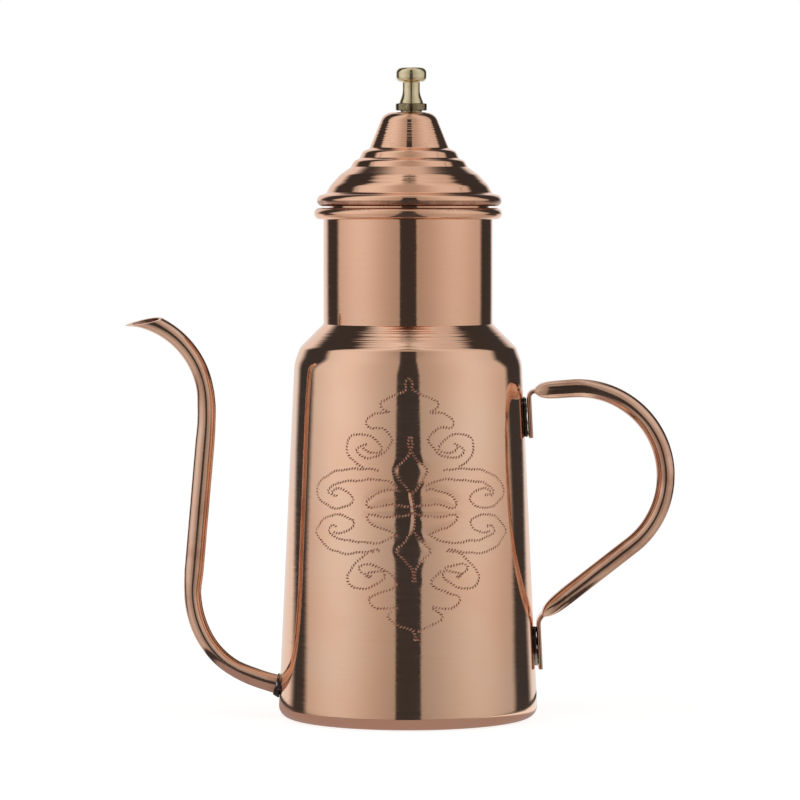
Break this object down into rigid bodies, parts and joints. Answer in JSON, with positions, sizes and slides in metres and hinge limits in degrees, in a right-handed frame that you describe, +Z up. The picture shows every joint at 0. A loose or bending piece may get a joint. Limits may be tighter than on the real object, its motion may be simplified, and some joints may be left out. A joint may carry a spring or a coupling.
{
  "type": "watering can",
  "caption": "Slim lidded copper can with a long swan-neck pouring spout, a looped tube handle, a stepped lift-off lid and a turned brass knob.",
  "frame": {"origin": "centre of the flat base, on the can body's own axis", "axes": "+Z up through the neck, -X towards the spout, +X towards the handle, -Y towards the engraved front"},
  "size_m": [0.2235, 0.1062, 0.2661],
  "materials": {
    "copper": "polished",
    "solder": "satin",
    "brass": "polished",
    "steel": "satin"
  },
  "bodies": {
    "can": {"body_shell": "copper", "neck_sleeve": "copper", "neck_solder": "solder", "neck_rim_wire": "copper", "spout_tube": "copper", "spout_solder": "solder", "handle_tube": "copper", "handle_upper_solder": "solder", "handle_lower_solder": "solder"},
    "lid": {"lid_shell": "copper", "lid_rim_wire": "copper", "lid_collar": "copper", "lid_collar_solder": "solder", "lid_knob": "brass", "knob_washer": "brass", "knob_screw": "steel"}
  },
  "joints": [
    {"name": "lid_lift", "type": "slide", "parent": "can", "child": "lid", "axis": [0, 0, 1], "range_m": [0, 0.06]}
  ]
}
